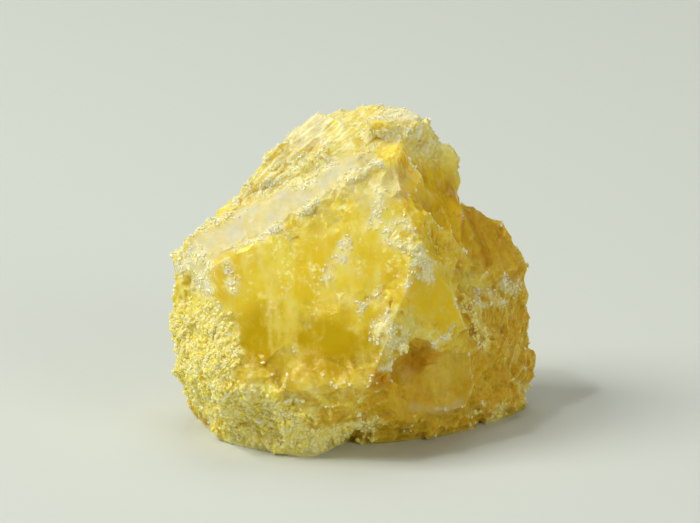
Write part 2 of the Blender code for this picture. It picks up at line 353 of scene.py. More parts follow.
@dataclass
class Skin:
    """The points of a mesh, in mm, with fields measured over them."""

    points: np.ndarray
    normals: np.ndarray
    places: list[Vector] = field(default_factory=list)

    def __post_init__(self) -> None:
        """Keep each point as a Vector too, for the noise functions."""
        self.places = [Vector(point) for point in self.points]

    @classmethod
    def of(cls, mesh: bpy.types.Mesh) -> "Skin":
        """Read a mesh.

        Args:
            mesh: the mesh, in metres.

        Returns:
            Its points, in mm, with their normals.
        """
        rows = []
        for name in ("co", "normal"):
            flat = np.empty(len(mesh.vertices) * 3, np.float32)
            mesh.vertices.foreach_get(name, flat)
            rows.append(flat.reshape(-1, 3).astype(float))
        return cls(rows[0] / MM, rows[1])

    def sample(self, rule: Callable[[Vector], float], where: np.ndarray) -> np.ndarray:
        """Evaluate a rule at the points where a mask isn't empty.

        Args:
            rule: gives a number for a place in mm.
            where: the mask, one weight for each point.

        Returns:
            The rule's values, and 0 where the mask is empty.
        """
        values = np.zeros(len(self.places))
        chosen = np.flatnonzero(where > FAINT)
        values[chosen] = [rule(self.places[i]) for i in chosen]
        return values

    def ground(self, kind: Ground) -> np.ndarray:
        """Say how much of one kind of ground each point has, with frayed borders.

        Args:
            kind: the kind of ground.

        Returns:
            A weight for each point.
        """
        (broad, far), (fine, near) = FRAYING
        drift = np.array(
            [wander(place / broad) * far + wander(place / fine) * near for place in self.places]
        )
        cover = np.zeros(len(self.points))
        for band in PLACES[kind]:
            cover = np.maximum(cover, band.cover(self.points + drift))
        return cover


# ---------------------------------------------------------------- node trees


class Graph:
    """A node tree under construction."""

    def __init__(self, tree: bpy.types.NodeTree) -> None:
        """Take the tree that nodes are added to."""
        self.nodes = tree.nodes
        self.links = tree.links

    def feed(self, source: Source | bool | bpy.types.Material, target: Socket) -> None:
        """Feed a socket from another socket, or give it a fixed value.

        Args:
            source: the other socket or the value.
            target: the socket.
        """
        if isinstance(source, Socket):
            self.links.new(source, target)
        elif isinstance(source, tuple) and len(target.default_value) == 4:
            target.default_value = (*source, 1.0)
        else:
            target.default_value = source

    def node(self, kind: str, inputs: dict[str | int, Source], **settings: str) -> bpy.types.Node:
        """Add a node.

        Args:
            kind: its type.
            inputs: what feeds each input, by the input's name or number.
            settings: its properties.

        Returns:
            The node.
        """
        node = self.nodes.new(kind)
        for name, value in settings.items():
            setattr(node, name, value)
        for key, source in inputs.items():
            self.feed(source, node.inputs[key])
        return node

    def math(self, operation: str, a: Source, b: Source = 0.0) -> Socket:
        """Combine two numbers."""
        return self.node("ShaderNodeMath", {0: a, 1: b}, operation=operation).outputs["Value"]

    def times(self, a: Source, b: Source) -> Socket:
        """Multiply two numbers."""
        return self.math("MULTIPLY", a, b)

    def rest(self, a: Source) -> Socket:
        """Take a number from 1."""
        return self.math("SUBTRACT", 1.0, a)

    def vector(self, operation: str, *sources: Source, scale: Source | None = None) -> Socket:
        """Combine vectors.

        Args:
            operation: how they are combined.
            sources: the vectors.
            scale: for SCALE, what lengthens the one vector.

        Returns:
            A number for a dot product, and otherwise a vector.
        """
        inputs = dict(enumerate(sources)) if scale is None else {0: sources[0], "Scale": scale}
        node = self.node("ShaderNodeVectorMath", inputs, operation=operation)
        return node.outputs["Value" if operation == "DOT_PRODUCT" else "Vector"]


class Tree(Graph):
    """A material's node tree, with short calls for what the finishes are made of."""

    def __init__(self, name: str) -> None:
        """Start a material whose tree holds only its shader and its output.

        Args:
            name: the material's name.
        """
        self.material = bpy.data.materials.new(name)
        self.material.use_nodes = True
        super().__init__(self.material.node_tree)
        self.shader = self.nodes["Principled BSDF"]
        self.place = self.nodes.new("ShaderNodeTexCoord").outputs["Object"]

    def attribute(self, name: str) -> Socket:
        """Read one of the mesh's attributes as a number."""
        return self.node("ShaderNodeAttribute", {}, attribute_name=name).outputs["Fac"]

    def noise(self, size: float, detail: float, roughness: float = 0.5) -> Socket:
        """Make soft noise whose lumps are about this size, in mm."""
        inputs = {"Vector": self.place, "Scale": 1.0 / (size * MM), "Detail": detail, "Roughness": roughness}
        return self.node("ShaderNodeTexNoise", inputs).outputs["Fac"]

    def streaks(self, along: Vector, length: float, width: float, detail: float) -> Socket:
        """Draw noise out along one direction.

        Args:
            along: the unit direction.
            length: the streaks' length, in mm.
            width: their width, in mm.
            detail: how many finer layers they have.

        Returns:
            The noise, about 0.5 on average.
        """
        run = self.vector("DOT_PRODUCT", self.place, along)
        pull = self.vector("SCALE", along * ((1.0 / length - 1.0 / width) / MM), scale=run)
        spread = self.vector("MULTIPLY_ADD", self.place, (1.0 / (width * MM),) * 3, pull)
        inputs = {"Vector": spread, "Scale": 1.0, "Detail": detail}
        return self.node("ShaderNodeTexNoise", inputs).outputs["Fac"]

    def cracks(self, size: float, bend: float) -> Socket:
        """Measure the distance to the nearest border between cells.

        Args:
            size: the cells' size, in mm.
            bend: how far their borders wander from straight lines, in mm.

        Returns:
            The distance as a share of the cells' size.
        """
        inputs = {"Vector": self.place, "Scale": 1.0 / (0.6 * size * MM)}
        drift = self.node("ShaderNodeTexNoise", inputs).outputs["Color"]
        bent = self.vector("MULTIPLY_ADD", drift, (bend * MM,) * 3, self.place)
        inputs = {"Vector": bent, "Scale": 1.0 / (size * MM)}
        cell = self.node("ShaderNodeTexVoronoi", inputs, feature="DISTANCE_TO_EDGE")
        return cell.outputs["Distance"]

    def tilted(self, size: float, shift: float = 0.0) -> Socket:
        """Lay small faces side by side, each leaning its own way.

        Args:
            size: the faces' size, in mm.
            shift: moves the pattern, so that two layers differ.

        Returns:
            The height as a share of the faces' size.
        """
        spread = self.vector("MULTIPLY_ADD", self.place, (1.0 / (size * MM),) * 3, (shift,) * 3)
        cell = self.node("ShaderNodeTexVoronoi", {"Vector": spread, "Scale": 1.0})
        away = self.vector("SUBTRACT", spread, cell.outputs["Position"])
        lean = self.vector("SUBTRACT", cell.outputs["Color"], tuple(HALF))
        return self.vector("DOT_PRODUCT", away, lean)

    def ramp(self, value: Socket, low: float, high: float, start: float = 0.0, end: float = 1.0) -> Socket:
        """Ease from start, where the value is low, to end, where it is high."""
        inputs = {"Value": value, "From Min": low, "From Max": high, "To Min": start, "To Max": end}
        return self.node("ShaderNodeMapRange", inputs, interpolation_type="SMOOTHSTEP").outputs["Result"]

    def lerp(self, share: Source, a: Source, b: Source) -> Socket:
        """Mix two numbers."""
        return self.node("ShaderNodeMix", {0: share, 2: a, 3: b}).outputs[0]

    def blend(self, share: Source, a: Source, b: Source) -> Socket:
        """Mix two colours."""
        return self.node("ShaderNodeMix", {0: share, 6: a, 7: b}, data_type="RGBA").outputs[2]

    def coat(self, colour: Source, *coats: tuple[Source, Source]) -> Socket:
        """Lay colours over one another.

        Args:
            colour: the lowest.
            coats: how much of each covers what is below it, and its colour, from the bottom up.

        Returns:
            The colour that shows.
        """
        for share, over in coats:
            colour = self.blend(share, colour, over)
        return colour

    def bump(self, height: Socket, distance: float, strength: Source, below: Socket | None) -> Socket:
        """Turn a height, whose 1 is distance in mm, into a normal laid on the one below."""
        inputs = {"Distance": distance * MM, "Strength": strength, "Height": height}
        return self.node("ShaderNodeBump", inputs | ({"Normal": below} if below else {})).outputs["Normal"]

    def finish(self, **values: Source) -> bpy.types.Material:
        """Feed the shader's sockets, named in lower case with underscores.

        Args:
            values: a socket or a fixed value for each input.

        Returns:
            The finished material.
        """
        names = {socket.name.lower().replace(" ", "_"): socket for socket in self.shader.inputs}
        for name, value in values.items():
            self.feed(value, names[name])
        return self.material


# ---------------------------------------------------------------- materials


@dataclass(frozen=True)
class SulfurFinish:
    """Translucent sulfur: glassy broken faces, frosted edges and a grainy crust."""

    name: str = "sulfur_skin"
    honey: Colour = (0.79, 0.59, 0.03)
    lemon: Colour = (0.86, 0.73, 0.11)
    veil: Colour = (0.93, 0.82, 0.27)
    # deep amber: the sulfur's thicker tone, also laid as painted shade in the amber places
    deep: Colour = (0.67, 0.38, 0.003)
    olive: Colour = (0.66, 0.50, 0.02)
    # painted shade: the darker amber laid on faces in shade and in hollows
    shade_tone: Colour = (0.58, 0.40, 0.003)
    # painted light: the brighter yellow where light shines through
    glow: Colour = (0.86, 0.61, 0.004)
    umber: Colour = (0.42, 0.22, 0.006)
    # painted shade: the dark orange laid in cracks and under the brow
    crack_shade: Colour = (0.56, 0.28, 0.004)
    # cream and satin: the pale strips, partly frost and partly painted sheen; cream also paints the gleam of
    # inner cracks
    cream: Colour = (0.67, 0.635, 0.46)
    satin_sheen: Colour = (0.62, 0.575, 0.32)
    milk: Colour = (0.98, 0.91, 0.52)
    frost: Colour = (1.0, 0.92, 0.44)
    crust: Colour = (0.95, 0.79, 0.16)
    rough_broken: float = 0.45
    rough_glass: float = 0.16
    rough_cream: float = 0.38
    rough_frost: float = 0.35
    rough_crust: float = 0.55
    reach: float = 2.6  # mm: how far light gets in
    tint: Colour = (1.0, 0.66, 0.10)  # how far each colour of light gets, as a share of reach
    index: float = 1.4  # how strongly it bends light
    gleam: Colour = (1.0, 0.93, 0.6)  # the colour of its reflections

    def material(self) -> bpy.types.Material:
        """Build the material.

        Returns:
            The material.
        """
        tree = SulfurTree(self)
        return tree.finish(
            base_color=tree.outer_colour(),
            roughness=tree.gloss(),
            normal=tree.relief(),
            ior=self.index,
            specular_tint=self.gleam,
            subsurface_weight=tree.clearness(),
            subsurface_radius=self.tint,
            subsurface_scale=self.reach * MM,
        )


class SulfurTree(Tree):
    """The node tree of the lump's skin."""

    def __init__(self, look: SulfurFinish) -> None:
        """Lay out the grounds, and the noises that colour, gloss and relief share, in mm.

        Args:
            look: the finish.
        """
        super().__init__(look.name)
        self.look = look
        self.on = {kind: self.attribute(kind.value) for kind in Ground}
        self.cloud = self.noise(8.0, 3.0, 0.55)
        self.mist = self.noise(2.6, 5.0, 0.65)
        self.fine = self.noise(0.7, 3.0, 0.6)
        self.veil = self.streaks(VEIL, 9.0, 2.2, 3.0)
        self.cluster = self.streaks(VEIL, 5.0, 1.8, 3.0)
        self.flecks = self.streaks(STREAK, 3.4, 0.55, 3.0)
        self.lines = self.streaks(RIB, 3.5, 0.5, 2.0)
        self.brushed = self.streaks(DIP, 2.0, 1.1, 5.0)
        self.flutes = self.streaks(FLUTE, 10.0, 1.6, 3.0)
        self.pale = self.times(self.on[Ground.CROWN], self.ramp(self.flecks, 0.48, 0.58, 0.18, 0.95))

    def inner_colour(self) -> Socket:
        """Mix what shows from inside: clouds, veils, cracks with a painted gleam, painted shade, painted
        glow and amber that is partly painted shade.

        Returns:
            The colour.
        """
        look, on, mist, ramp = self.look, self.on, self.mist, self.ramp
        sprinkled = self.times(ramp(self.fine, 0.5, 0.62), ramp(self.cluster, 0.48, 0.6, 0.0, 0.75))
        crack = ramp(self.cracks(6.5, 2.0), 0.0, 0.03, 0.45, 0.0)
        depth = self.math("ADD", self.cloud, self.math("ADD", mist, self.veil))
        midway = self.math("ABSOLUTE", self.math("SUBTRACT", self.flutes, 0.47))
        golden = self.blend(ramp(self.flutes, 0.4, 0.62, 0.0, 0.45), look.deep, look.honey)
        return self.coat(
            look.honey,
            (ramp(self.cloud, 0.38, 0.62), look.lemon),
            (ramp(self.veil, 0.5, 0.72, 0.0, 0.5), look.veil),
            (ramp(self.veil, 0.46, 0.3, 0.0, 0.35), look.olive),
            (ramp(mist, 0.52, 0.68, 0.0, 0.55), look.veil),
            (ramp(mist, 0.46, 0.3, 0.0, 0.5), look.honey),
            (sprinkled, look.frost),
            # painted gleam along inner cracks
            (self.times(crack, ramp(self.cloud, 0.4, 0.6)), look.cream),
            # painted shade: darker amber on faces in shade
            (self.times(on[Ground.DUSKY], ramp(depth, 1.3, 1.75, 1.0, 0.35)), look.shade_tone),
            # painted light: brighter, warmer yellow where light shines through the column and the lower
            # facet
            (self.times(on[Ground.GLOW], ramp(mist, 0.4, 0.7, 0.95, 0.6)), look.glow),
            (self.times(on[Ground.FLUTED], ramp(midway, 0.0, 0.05, 0.75, 0.0)), look.deep),
            # partly the sulfur's own deep amber, partly painted shade on undersides, low parts and shaded
            # places
            (self.times(on[Ground.AMBER], 0.9), golden),
        )

    def outer_colour(self) -> Socket:
        """Lay what sits on the surface over the inner colour: dust, satin with painted sheen, grains, frost,
        and painted shade in hollows and cracks.

        Returns:
            The colour.
        """
        look, on, fine, ramp = self.look, self.on, self.fine, self.ramp
        amber, crust = on[Ground.AMBER], on[Ground.CRUST]
        broken = self.rest(on[Ground.GLASS])
        specks = self.times(amber, self.times(broken, ramp(fine, 0.5, 0.36)))
        satin_sheen = self.blend(ramp(self.brushed, 0.35, 0.65), look.satin_sheen, look.cream)
        dust = self.times(broken, ramp(fine, 0.52, 0.66, 0.0, 0.4))
        grains = self.blend(ramp(fine, 0.4, 0.65), look.crust, look.frost)
        # painted shade: darkens the hollows towards the shade tone, less on the crust
        shade = self.times(self.attribute("hollow"), self.lerp(crust, 0.85, 0.4))
        return self.coat(
            self.inner_colour(),
            (self.times(specks, 0.4), look.umber),
            # pale strips, partly painted sheen
            (self.times(on[Ground.CREAM], ramp(self.veil, 0.4, 0.6, 0.65, 0.97)), satin_sheen),
            (self.pale, look.milk),
            (self.times(on[Ground.WRINKLE], ramp(self.lines, 0.52, 0.64, 0.0, 0.5)), look.veil),
            (self.times(dust, self.rest(self.times(amber, 0.85))), look.frost),
            (crust, grains),
            # painted shade in the hollows
            (shade, look.shade_tone),
            (on[Ground.FROST], look.frost),
            # painted shade in cracks and under the brow
            (self.times(on[Ground.GAP], ramp(self.mist, 0.3, 0.6, 0.5, 0.95)), look.crack_shade),
        )

    def gloss(self) -> Socket:
        """Give each ground its roughness, and vary it a little.

        Returns:
            The roughness.
        """
        rough = self.look.rough_broken
        for ground, over in (
            (Ground.GLASS, self.look.rough_glass),
            (Ground.CREAM, self.look.rough_cream),
            (Ground.FROST, self.look.rough_frost),
            (Ground.CRUST, self.look.rough_crust),
        ):
            rough = self.lerp(self.on[ground], rough, over)
        return self.math("ADD", rough, self.ramp(self.mist, 0.3, 0.7, -0.05, 0.12))

    def clearness(self) -> Socket:
        """Say how much light gets in: least where the surface is white.

        Returns:
            The weight of the scattering inside.
        """
        white = self.times(self.on[Ground.CREAM], 0.75)
        for other in (self.times(self.on[Ground.CRUST], 0.8), self.pale, self.on[Ground.FROST]):
            white = self.math("MAXIMUM", other, white)
        return self.rest(self.times(white, 0.85))

    def relief(self) -> Socket:
        """Add the relief that is finer than the mesh.

        Returns:
            The normal.
        """
        on, glass = self.on, self.on[Ground.GLASS]
        normal = None
        for height, distance, strength in (
            (self.tilted(2.3), 2.3, self.lerp(glass, 0.45, 0.12)),
            (self.tilted(0.9, 5.0), 0.9, self.lerp(glass, 0.5, 0.12)),
            (self.flecks, 0.5, self.times(on[Ground.CROWN], 0.7)),
            (self.lines, 0.5, self.times(on[Ground.WRINKLE], 0.6)),
            (self.brushed, 0.25, self.times(on[Ground.CREAM], 0.2)),
            (self.noise(0.3, 3.0, 0.6), 0.08, self.rest(self.times(glass, 0.85))),
        ):
            normal = self.bump(height, distance, strength, normal)
        return normal


@dataclass(frozen=True)
class GrainFinish:
    """Loose grains and frost crystals: paler and clearer than the lump."""

    name: str
    pale: Colour
    warm: Colour
    roughness: float
    spread: float = 0.2  # how much rougher the dullest one is
    index: float = 1.5  # how strongly they bend light
    gleam: Colour = (1.0, 0.97, 0.8)  # the colour of their reflections
    clearness: float = 0.5
    tint: Colour = (1.0, 1.0, 1.0)  # every colour of light gets in equally far
    reach: float = 0.5  # mm: how far light gets in

    def material(self) -> bpy.types.Material:
        """Build the material.

        Returns:
            The material.
        """
        tree = Tree(self.name)
        share = tree.ramp(tree.noise(1.6, 1.0), 0.35, 0.65)
        dull = self.roughness + self.spread
        return tree.finish(
            base_color=tree.blend(share, self.warm, self.pale),
            roughness=tree.ramp(tree.noise(0.9, 1.0), 0.3, 0.7, self.roughness, dull),
            ior=self.index,
            specular_tint=self.gleam,
            subsurface_weight=self.clearness,
            subsurface_radius=self.tint,
            subsurface_scale=self.reach * MM,
        )


@dataclass(frozen=True)
class PaperFinish:
    """The matt paper of the floor."""

    name: str = "studio_paper"
    colour: Colour = (0.62, 0.665, 0.625)
    roughness: float = 0.85

    def material(self) -> bpy.types.Material:
        """Build the node tree."""
        return Tree(self.name).finish(base_color=self.colour, roughness=self.roughness)


# ---------------------------------------------------------------- the lump


def new_object(name: str, data: bpy.types.ID) -> bpy.types.Object:
    """Put an object in the scene at the origin.

    Args:
        name: its name.
        data: its mesh, light or camera.

    Returns:
        The object.
    """
    obj = bpy.data.objects.new(name, data)
    bpy.context.scene.collection.objects.link(obj)
    return obj


def settle(obj: bpy.types.Object) -> None:
    """Replace the object's mesh with what its modifiers make of it.

    Args:
        obj: the object.
    """
    bpy.context.view_layer.update()
    evaluated = obj.evaluated_get(bpy.context.evaluated_depsgraph_get())
    mesh = bpy.data.meshes.new_from_object(evaluated)
    obj.modifiers.clear()
    obj.data = mesh


@dataclass(frozen=True)
class Form:
    """One kind of form that is raised on the skin. All sizes are in mm."""

    height: float
    size: float  # its width, or its length where it is drawn out
    width: float = 1.0  # its width where it is drawn out

    def drawn(self, along: Vector) -> Callable[[Vector], float]:
        """Give the rule of sharp crests along a direction."""
        cells = stretch(along, self.size, self.width)
        return lambda place: self.height * ridge(place, cells)

    def rolling(self, place: Vector) -> float:
        """Give soft rises and dips."""
        return self.height * noise.noise(place / self.size)

    def packed(self, place: Vector) -> float:
        """Give grains that touch."""
        return self.height * dome(place, self.size)


@dataclass
class Lump:
    """The body of the lump: the solid's skin, remade fine and sculpted."""

    solid: bpy.types.Object
    cell: float = 0.30  # mm: cell of the fine mesh
    same_point: float = 0.001  # mm: points of the solid nearer than this are one
    triangles: int = 12_000  # small flat faces that the broken skin is made of
    cuts: int = 3  # cuts in each edge of those, for the finest forms
    foot: Span = (0.1, 0.5)  # mm above the base, where the forms rise to their full height
    facets: Span = (3.6, 1.7)  # mm: sizes of the broken faces
    lean: float = 0.26  # their slope
    bow: float = 0.2  # how hollow they are
    crests: Form = Form(0.22, 8.0, 2.0)
    fine_crests: Form = Form(0.06, 3.0, 0.7)
    ribs: Form = Form(0.3, 8.0, 1.8)
    flutes: Form = Form(0.5, 20.0, 4.2)
    waves: Form = Form(0.16, 4.5)  # on the glassy faces
    grains: Form = Form(0.42, 1.6)
    small_grains: Form = Form(0.24, 0.8)
    sink: float = 0.3  # mm: how deep the grains sit in the skin
    pits: Form = Form(0.1, 0.6)
    icing: Form = Form(0.16, 0.7)  # on the frost
    near_rounds: int = 3  # rounds of smoothing that show small edges and hollows
    broad_rounds: int = 18  # rounds that show broad ones
    small_edge: Span = (0.05, 0.16)  # mm that small worn edges stand out by
    broad_edge: Span = (0.15, 0.5)
    small_hollow: Span = (0.04, 0.22)  # mm that small hollows lie in by, for their painted shade
    broad_hollow: Span = (0.15, 0.7)
    low: float = 14.0  # mm: below this height the sulfur is painted amber as shade, more so towards the base
    crease: float = 14.0  # degrees: a sharper edge is shaded as an edge
    obj: bpy.types.Object | None = None

    def build(self) -> None:
        """Remake the solid's skin as a fine, sculpted mesh."""
        mesh = self.solid.data.copy()
        merged = bmesh.new()
        merged.from_mesh(mesh)
        bmesh.ops.remove_doubles(merged, verts=merged.verts[:], dist=self.same_point * MM)
        merged.to_mesh(mesh)
        merged.free()
        mesh.materials.clear()
        self.obj = new_object("sulfur_body", mesh)
        remesh = self.obj.modifiers.new("fine", "REMESH")
        remesh.mode = "VOXEL"
        remesh.voxel_size = self.cell * MM
        settle(self.obj)
        self.press()
        self.sculpt()
        self.thin()
        self.split()
        self.roughen()
        self.map_grounds()

    def press(self) -> None:
        """Press the skin onto the flat broken faces."""
        skin = Skin.of(self.obj.data)
        moved = skin.points.copy()
        for cleft in (BEVEL, LOWER_FACET, WING_FACE, SHELF, KNOB_TOP):
            moved += cleft.press(moved, skin.normals)
        self.move(moved)

    def move(self, points: np.ndarray) -> None:
        """Put the mesh's points at new places, given in mm."""
        self.obj.data.vertices.foreach_set("co", (points * MM).astype(np.float32).ravel())
        self.obj.data.update()

    def sculpt(self) -> None:
        """Raise broken faces, crests, ribs, flutes and waves."""
        skin = Skin.of(self.obj.data)
        crust = skin.ground(Ground.CRUST)
        glass = skin.ground(Ground.GLASS)
        broken = 1.0 - glass
        crown = skin.ground(Ground.CROWN) * broken * (1.0 - 0.5 * crust)
        wrinkle = skin.ground(Ground.WRINKLE) * broken
        fluted = skin.ground(Ground.FLUTED)

        def chips(place: Vector) -> float:
            """Give the broken faces, large and small."""
            return sum(shells(place, size, self.lean, self.bow) for size in self.facets)

        height = (
            broken * (1.0 - 0.6 * crown) * skin.sample(chips, broken)
            + crown * skin.sample(self.crests.drawn(STREAK), crown)
            + wrinkle * skin.sample(self.ribs.drawn(RIB), wrinkle)
            + glass * skin.sample(self.waves.rolling, glass)
            + fluted * skin.sample(self.flutes.drawn(FLUTE), fluted)
        )
        self.raise_skin(skin, height)

    def thin(self) -> None:
        """Collapse edges where the surface is even, which leaves crisp small faces."""
        self.obj.data.calc_loop_triangles()
        modifier = self.obj.modifiers.new("thin", "DECIMATE")
        modifier.ratio = self.triangles / len(self.obj.data.loop_triangles)
        settle(self.obj)

    def split(self) -> None:
        """Cut every edge and triangle into equal parts, which keeps the small faces flat."""
        work = bmesh.new()
        work.from_mesh(self.obj.data)
        bmesh.ops.subdivide_edges(work, edges=work.edges[:], cuts=self.cuts, use_grid_fill=True)
        work.to_mesh(self.obj.data)
        work.free()

    def roughen(self) -> None:
        """Raise grains, fine crests and small pits."""
        skin = Skin.of(self.obj.data)
        crust = skin.ground(Ground.CRUST)
        glass = skin.ground(Ground.GLASS) * (1.0 - 0.7 * crust)
        crown = skin.ground(Ground.CROWN) * (1.0 - glass) * (1.0 - 0.5 * crust)
        frost = skin.ground(Ground.FROST)
        broken = (1.0 - glass) * (1.0 - 0.7 * crust)
        height = (
            crust
            * skin.sample(lambda p: self.grains.packed(p) + self.small_grains.packed(p) - self.sink, crust)
            + broken * skin.sample(self.pits.rolling, broken)
            + crown * skin.sample(self.fine_crests.drawn(STREAK), crown)
            + frost * skin.sample(lambda p: self.icing.packed(p) - self.icing.height / 2, frost)
        )
        self.raise_skin(skin, height)

    def raise_skin(self, skin: Skin, height: np.ndarray) -> None:
        """Move each point out along its normal, and keep the base flat.

        Args:
            skin: the mesh's points and normals.
            height: how far each point moves, in mm.
        """
        height = height * smooth_step(skin.points[:, 2], *self.foot)
        moved = skin.points + skin.normals * height[:, None]
        moved[:, 2] = np.maximum(moved[:, 2], 0.0)
        self.move(moved)

    def map_grounds(self) -> None:
        """Store the kinds of ground, the painted shade of the hollows and the worn edges as attributes."""
        skin = Skin.of(self.obj.data)
        maps = {kind: np.clip(skin.ground(kind), 0.0, 1.0) for kind in Ground}
        crust = maps[Ground.CRUST]
        ragged = skin.sample(lambda p: 0.5 * noise.noise(p / 2.6) + 0.3 * noise.noise(p / 0.9), crust)
        maps[Ground.CRUST] = smooth_step(crust + ragged, 0.25, 0.75)
        maps[Ground.GLASS] *= 1.0 - 0.7 * maps[Ground.CRUST]
        near = self.bulge(skin, self.near_rounds)
        broad = self.bulge(skin, self.broad_rounds)
        edge = smooth_step(near, *self.small_edge) * 0.65 + smooth_step(broad, *self.broad_edge) * 0.5
        patchy = skin.sample(
            lambda p: 0.5 + 0.9 * noise.noise(p / 2.0) + 0.5 * noise.noise(p / 0.7), np.ones(len(edge))
        )
        patchy = np.clip(patchy, 0.0, 1.0)
        calm = 0.5 * maps[Ground.DUSKY] + 0.45 * maps[Ground.GLOW] + 0.4 * maps[Ground.AMBER]
        edge *= 1.0 - np.clip(calm, 0.0, 0.7)
        lines = maps[Ground.FROST] * smooth_step(patchy, 0.15, 0.6)
        maps[Ground.FROST] = np.clip(np.maximum(lines, edge * (0.3 + 0.65 * patchy)), 0.0, 1.0)
        # painted shade: faces that look down, and parts low on the lump, turn amber
        under = 0.7 * smooth_step(-skin.normals[:, 2], 0.0, 0.6)
        low = 0.4 * smooth_step(self.low - skin.points[:, 2], 0.0, self.low)
        maps[Ground.AMBER] = np.clip(maps[Ground.AMBER] + under + low, 0.0, 1.0)
        # painted shade: how far each point lies in a hollow, which darkens it
        hollow = smooth_step(-near, *self.small_hollow) * 0.5
        hollow += smooth_step(-broad, *self.broad_hollow) * 0.8
        self.store("hollow", np.clip(hollow, 0.0, 1.0))
        for kind, values in maps.items():
            self.store(kind.value, values)

    def bulge(self, skin: Skin, rounds: int) -> np.ndarray:
        """Measure how far each point stands out from its smoothed surroundings.

        Args:
            skin: the mesh's points.
            rounds: how many times the surroundings are smoothed.

        Returns:
            The height above them in mm, negative in a hollow.
        """
        edges = self.obj.data.edges
        pairs = np.empty(len(edges) * 2, np.int32)
        edges.foreach_get("vertices", pairs)
        one, other = pairs.reshape(-1, 2).T
        count = len(skin.points)
        degree = np.bincount(one, minlength=count) + np.bincount(other, minlength=count)
        degree = np.maximum(degree, 1)
        smooth = skin.points.copy()
        for _ in range(rounds):
            total = np.empty_like(smooth)
            for axis in range(3):
                column = smooth[:, axis]
                total[:, axis] = np.bincount(one, column[other], count)
                total[:, axis] += np.bincount(other, column[one], count)
            smooth = 0.4 * smooth + 0.6 * total / degree[:, None]
        return ((skin.points - smooth) * skin.normals).sum(1)

    def store(self, name: str, values: np.ndarray) -> None:
        """Write one number for each point as a mesh attribute."""
        layer = self.obj.data.attributes.new(name, "FLOAT", "POINT")
        layer.data.foreach_set("value", values.astype(np.float32))

    def dress(self, finish: SulfurFinish) -> None:
        """Args:
            finish: what the lump is made of.
        """
        mesh = self.obj.data
        mesh.materials.append(finish.material())
        mesh.polygons.foreach_set("use_smooth", [True] * len(mesh.polygons))
        mesh.set_sharp_from_angle(angle=math.radians(self.crease))
        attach(self.obj, BODY)
        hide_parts(NODE)


# ---------------------------------------------------------------- loose crystals


class Shape(Enum):
    """What a scattered crystal looks like: its node, and the value of each size input."""

    GRAIN = ("GeometryNodeMeshIcoSphere", {"Radius": 0.5, "Subdivisions": 1})
    BLOCK = ("GeometryNodeMeshCube", {"Size": (1.0, 0.8, 0.55)})


